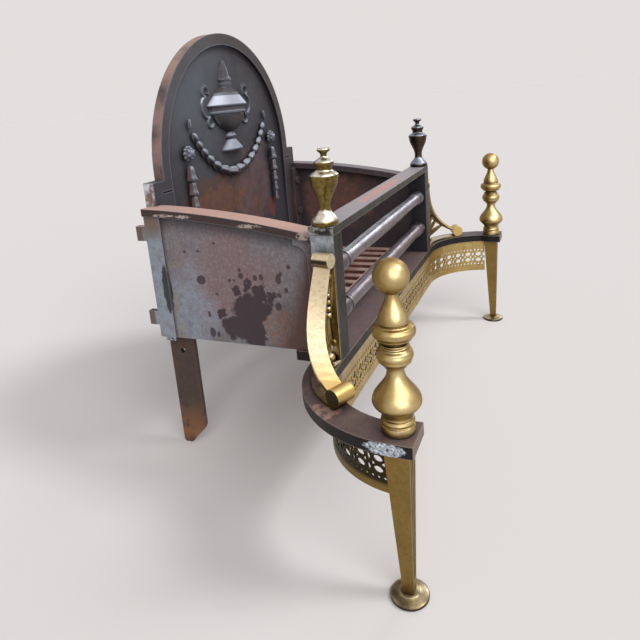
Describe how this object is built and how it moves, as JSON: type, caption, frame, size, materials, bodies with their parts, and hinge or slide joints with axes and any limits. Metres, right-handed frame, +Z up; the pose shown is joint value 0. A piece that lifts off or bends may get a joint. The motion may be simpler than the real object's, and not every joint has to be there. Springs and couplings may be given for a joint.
{
  "type": "fire grate",
  "caption": "Free-standing fire grate: an iron basket with an arched relief back, on a shelf with curved wings, brass legs, pierced apron, brackets and finials.",
  "frame": {"origin": "on the hearth, under the middle of the object's bounding box", "axes": "+X along the front to the right as seen from the front, +Y toward the fireback, +Z up"},
  "size_m": [0.6388, 0.3391, 0.4823],
  "materials": {
    "shelf_iron": "worn dark iron with a mauve-brown bloom and black painted edges",
    "frame_iron": "worn dark grey iron, bare on the edges",
    "rail_iron": "rubbed grey iron with pink-brown rust",
    "bar_iron": "smooth worn iron",
    "cheek_iron": "blue-grey iron mottled with rust and dark stains",
    "fireback_iron": "sooty cast iron with red-brown rust",
    "grid_iron": "rusted cast iron",
    "rear_leg_iron": "dark iron with an orange rusted toe",
    "aged_brass": "aged brass, darker in the recesses",
    "pale_brass": "brushed pale brass",
    "fixing_iron": "dull dark iron",
    "stud_steel": "plain steel rod"
  },
  "bodies": {
    "grate": {"shelf_plate": "shelf_iron", "stile_left": "frame_iron", "stile_right": "frame_iron", "top_rail": "rail_iron", "front_bar_lower": "bar_iron", "front_bar_upper": "bar_iron", "cheek_left": "cheek_iron", "cheek_right": "cheek_iron", "fireback": "fireback_iron", "grid_ledge": "fireback_iron", "rear_leg_left": "rear_leg_iron", "rear_leg_right": "rear_leg_iron", "front_leg_left": "aged_brass", "front_leg_right": "aged_brass", "foot_disc_left": "pale_brass", "foot_disc_right": "pale_brass", "pierced_apron": "aged_brass", "bracket_strap_left": "pale_brass", "bracket_strap_right": "pale_brass", "bracket_openwork_left": "aged_brass", "bracket_openwork_right": "aged_brass", "ball_finial_left": "aged_brass", "ball_finial_right": "aged_brass", "urn_finial_left": "aged_brass", "urn_finial_right": "aged_brass", "leg_studs": "stud_steel", "rail_studs": "stud_steel", "stile_screws": "fixing_iron", "cheek_bolts": "fixing_iron", "cheek_nuts": "fixing_iron", "rear_leg_bolts": "fixing_iron", "rear_leg_nuts": "fixing_iron", "apron_screws": "aged_brass", "bracket_screws": "aged_brass"},
    "grid": {"bottom_grid": "grid_iron"}
  },
  "joints": [
    {"name": "grid_lift", "type": "slide", "parent": "grate", "child": "grid", "axis": [0, 0, 1], "range_m": [0, 0.34]}
  ]
}
